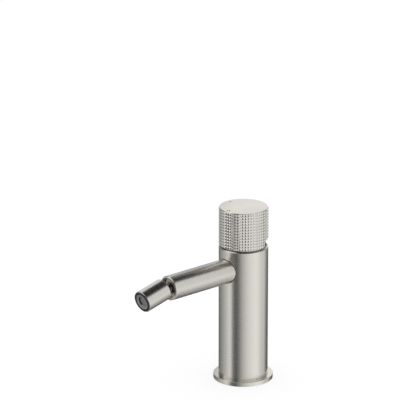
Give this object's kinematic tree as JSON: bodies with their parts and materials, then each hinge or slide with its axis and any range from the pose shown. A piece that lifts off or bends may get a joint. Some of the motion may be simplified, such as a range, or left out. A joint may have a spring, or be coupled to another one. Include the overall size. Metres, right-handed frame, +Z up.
{
  "type": "bidet mixer",
  "caption": "Single-handle bidet mixer with a round flange, a cylindrical body, a straight spout with a swivelling ball-jointed nozzle, and a knurled handle that turns and tilts.",
  "frame": {"origin": "on the tap's vertical axis, at the deck face under the flange", "axes": "+Z up along the body towards the handle, spout along -Y, +X to the right of someone who faces the spout's end and looks along +Y"},
  "size_m": [0.0544, 0.1505, 0.1644],
  "materials": {
    "satin_nickel": "satin brushed nickel",
    "polished_metal": "polished",
    "brass": "as machined",
    "steel": "bright",
    "die_cast": "as cast",
    "rubber": "matte",
    "white_plastic": "moulded",
    "ceramic": "lapped",
    "black_plastic": "moulded",
    "grey_plastic": "moulded"
  },
  "bodies": {
    "mixer_body": {"base_flange": "satin_nickel", "base_seal": "rubber", "body_screws": "steel", "mounting_foot": "brass", "foot_seals": "rubber", "body_shell": "satin_nickel", "valve_block": "brass", "block_seals": "rubber", "spout_tube": "satin_nickel", "spout_seal": "rubber", "ball_stem": "polished_metal", "stem_seal": "rubber", "cartridge_base": "white_plastic", "cartridge_seals": "rubber", "cartridge_casing": "white_plastic", "fixed_disc": "ceramic", "cartridge_nut": "brass", "nut_cover": "satin_nickel"},
    "cartridge_rotor": {"rotor": "white_plastic", "tilt_pin": "steel"},
    "disc_slider": {"disc_carrier": "white_plastic", "moving_disc": "ceramic"},
    "handle": {"spindle": "steel", "handle_adapter": "die_cast", "grub_screw": "steel", "grub_plug": "satin_nickel", "handle_sleeve": "satin_nickel", "handle_cap": "satin_nickel", "index_marks": "black_plastic"},
    "swivel_ring": {"ball_liner": "black_plastic"},
    "nozzle": {"nozzle_shell": "satin_nickel", "ball_seat": "white_plastic", "aerator_washer": "rubber", "aerator_housing": "black_plastic", "aerator_insert": "grey_plastic"}
  },
  "joints": [
    {"name": "handle_turn", "type": "hinge", "parent": "mixer_body", "child": "cartridge_rotor", "pos_m": [0, 0, 0.14072], "axis": [0, 0, 1], "range_deg": [-45, 45]},
    {"name": "handle_tilt", "type": "hinge", "parent": "cartridge_rotor", "child": "handle", "pos_m": [0, 0, 0.14072], "axis": [-1, 0, 0], "range_deg": [0, 14]},
    {"name": "disc_slide", "type": "slide", "parent": "cartridge_rotor", "child": "disc_slider", "axis": [0, 1, 0], "range_m": [-0.0019, 0.0001]},
    {"name": "nozzle_yaw", "type": "hinge", "parent": "mixer_body", "child": "swivel_ring", "pos_m": [0, -0.0983, 0.1074], "axis": [0, 0, 1], "range_deg": [-20, 20]},
    {"name": "nozzle_pitch", "type": "hinge", "parent": "swivel_ring", "child": "nozzle", "pos_m": [0, -0.0983, 0.1074], "axis": [1, 0, 0], "range_deg": [-34, 6]}
  ],
  "couplings": [
    {"joint": "disc_slide", "follows": "handle_tilt", "m_per_rad": -0.0075}
  ]
}
